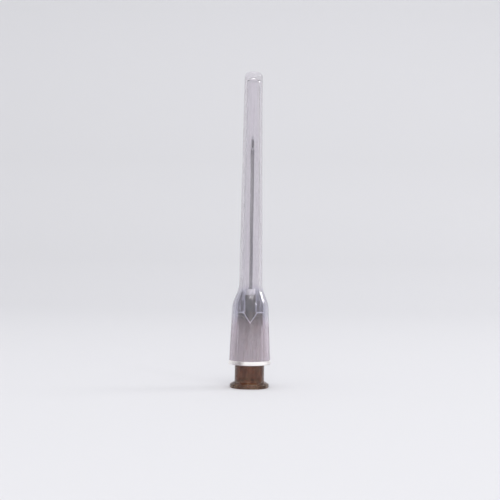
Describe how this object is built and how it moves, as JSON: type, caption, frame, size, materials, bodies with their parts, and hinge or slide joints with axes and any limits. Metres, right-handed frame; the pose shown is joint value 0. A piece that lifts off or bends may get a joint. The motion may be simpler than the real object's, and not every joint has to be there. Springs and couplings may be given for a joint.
{
  "type": "hypodermic needle",
  "caption": "Single-use hypodermic needle: bevelled steel tube bonded in a Luer lock hub, under a clear fluted push-on sheath.",
  "frame": {"origin": "middle of the hub's flat rear rim, which the needle stands on", "axes": "+Z along the needle from the rear rim to the point; +X through the two Luer lugs; -Y is the side that the long bevel opens to"},
  "size_m": [0.0086, 0.0086, 0.063],
  "materials": {
    "hub_plastic": "smoky brown polypropylene, moulded smooth",
    "steel": "drawn stainless steel with a bright ground bevel",
    "resin": "cured clear resin",
    "sheath_plastic": "hazy natural polypropylene"
  },
  "bodies": {
    "needle": {"hub": "hub_plastic", "cannula": "steel", "epoxy_bead": "resin"},
    "sheath": {"sheath": "sheath_plastic"}
  },
  "joints": [
    {"name": "sheath_pull", "type": "slide", "parent": "needle", "child": "sheath", "axis": [0, 0, 1], "range_m": [0, 0.055]}
  ]
}
